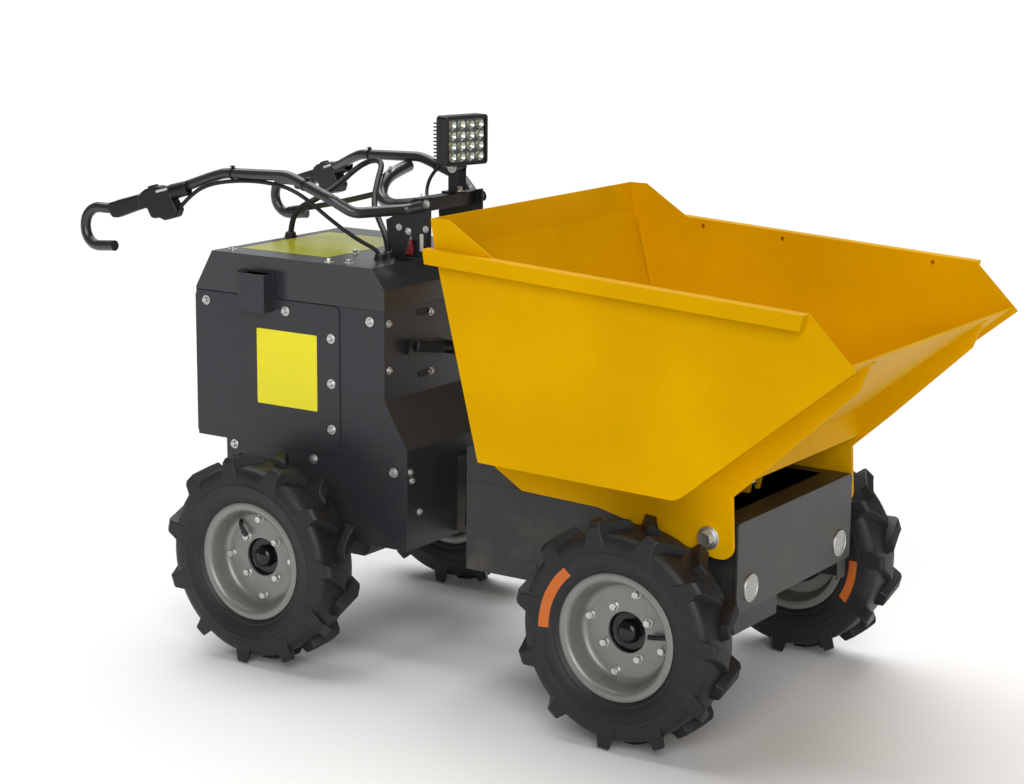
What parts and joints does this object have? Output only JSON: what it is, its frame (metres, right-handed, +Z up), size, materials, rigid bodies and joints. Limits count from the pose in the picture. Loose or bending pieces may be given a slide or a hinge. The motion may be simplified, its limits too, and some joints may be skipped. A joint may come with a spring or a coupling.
{
  "type": "articulated walk-behind tipping dumper",
  "caption": "Walk-behind battery dumper, hinged in the middle, on four lugged tyres, with a forward-tipping steel bucket, handlebars and a work lamp.",
  "frame": {"origin": "on the ground at the middle of the machine's length and width", "axes": "+X forward to the bucket, +Y to the driver's left, +Z up"},
  "size_m": [1.7179, 0.766, 1.0413],
  "materials": {
    "black_paint": "semi-gloss black paint",
    "black_plastic": "moulded black plastic",
    "body_grey": "semi-gloss anthracite powder coat",
    "bucket_yellow": "gloss yellow powder coat",
    "chassis_grey": "semi-gloss anthracite powder coat",
    "handle_grey": "gloss grey powder coat",
    "lamp_black": "cast aluminium, black",
    "lens_clear": "clear moulded lens",
    "red_paint": "gloss red paint",
    "red_plastic": "gloss red plastic",
    "reflector_white": "white reflex lens",
    "rim_silver": "satin silver paint",
    "rod_chrome": "hard chrome",
    "tyre_rubber": "matt ribbed rubber",
    "zinc_steel": "zinc plated"
  },
  "bodies": {
    "rear": {"access_cover_left": "body_grey", "access_cover_right": "body_grey", "battery_block": "black_plastic", "centre_lever": "black_plastic", "control_cable_right": "black_plastic", "cross_beam": "body_grey", "front_panel": "black_paint", "grips": "black_plastic", "hand_levers": "black_plastic", "handle_brace": "handle_grey", "handle_brackets": "body_grey", "handlebar_left": "handle_grey", "handlebar_right": "handle_grey", "hood": "body_grey", "hose_loop": "black_plastic", "lamp_bracket": "body_grey", "lamp_cable": "black_plastic", "lamp_lens": "lens_clear", "lever_housings": "black_plastic", "pivot_pin": "zinc_steel", "pivot_yoke": "black_paint", "rear_axle": "black_paint", "rear_frame": "body_grey", "rear_panel": "body_grey", "side_panel_left": "body_grey", "side_panel_right": "body_grey", "side_pocket": "body_grey", "stop_button": "red_plastic", "work_lamp": "lamp_black"},
    "bucket": {"bucket_cross": "bucket_yellow", "bucket_rails": "bucket_yellow", "bucket_ribs": "bucket_yellow", "bucket_shell": "bucket_yellow", "bucket_side_left": "bucket_yellow", "bucket_side_right": "bucket_yellow"},
    "barrel": {"cylinder_barrel": "black_paint"},
    "rod": {"cylinder_rod": "rod_chrome"},
    "front": {"front_apron": "chassis_grey", "front_axle": "black_paint", "front_deck": "chassis_grey", "front_frame": "chassis_grey", "front_lamps": "reflector_white", "front_plate": "chassis_grey", "pivot_post": "red_paint", "tip_pins": "zinc_steel"},
    "wheel_front_left": {"hub_front_left": "black_paint", "rim_front_left": "rim_silver", "tyre_front_left": "tyre_rubber"},
    "wheel_front_right": {"hub_front_right": "black_paint", "rim_front_right": "rim_silver", "tyre_front_right": "tyre_rubber"},
    "wheel_rear_left": {"hub_rear_left": "black_paint", "rim_rear_left": "rim_silver", "tyre_rear_left": "tyre_rubber"},
    "wheel_rear_right": {"hub_rear_right": "black_paint", "rim_rear_right": "rim_silver", "tyre_rear_right": "tyre_rubber"}
  },
  "joints": [
    {"name": "steer", "type": "hinge", "parent": "rear", "child": "front", "pos_m": [-0.045, 0, 0.309], "axis": [0, 0, 1], "range_deg": [-30, 30]},
    {"name": "wheel_front_left_spin", "type": "hinge", "parent": "front", "child": "wheel_front_left", "pos_m": [0.44, 0.329, 0.205], "axis": [0, 1, 0], "continuous": true},
    {"name": "wheel_front_right_spin", "type": "hinge", "parent": "front", "child": "wheel_front_right", "pos_m": [0.44, -0.329, 0.205], "axis": [0, 1, 0], "continuous": true},
    {"name": "wheel_rear_left_spin", "type": "hinge", "parent": "rear", "child": "wheel_rear_left", "pos_m": [-0.376, 0.329, 0.205], "axis": [0, 1, 0], "continuous": true},
    {"name": "wheel_rear_right_spin", "type": "hinge", "parent": "rear", "child": "wheel_rear_right", "pos_m": [-0.376, -0.329, 0.205], "axis": [0, 1, 0], "continuous": true},
    {"name": "bucket_tip", "type": "hinge", "parent": "front", "child": "bucket", "pos_m": [0.547, 0, 0.372], "axis": [0, 1, 0], "range_deg": [0, 80]},
    {"name": "cylinder_swing", "type": "hinge", "parent": "front", "child": "barrel", "pos_m": [0.17, 0, 0.252], "axis": [0, -1, 0], "range_deg": [-2, 1]},
    {"name": "cylinder_stroke", "type": "slide", "parent": "barrel", "child": "rod", "axis": [0.8944, 0, 0.4472], "range_m": [0, 0.096]}
  ],
  "couplings": [
    {"joint": "cylinder_swing", "follows": "bucket_tip", "ratio": -0.015},
    {"joint": "cylinder_stroke", "follows": "bucket_tip", "m_per_rad": 0.067}
  ]
}
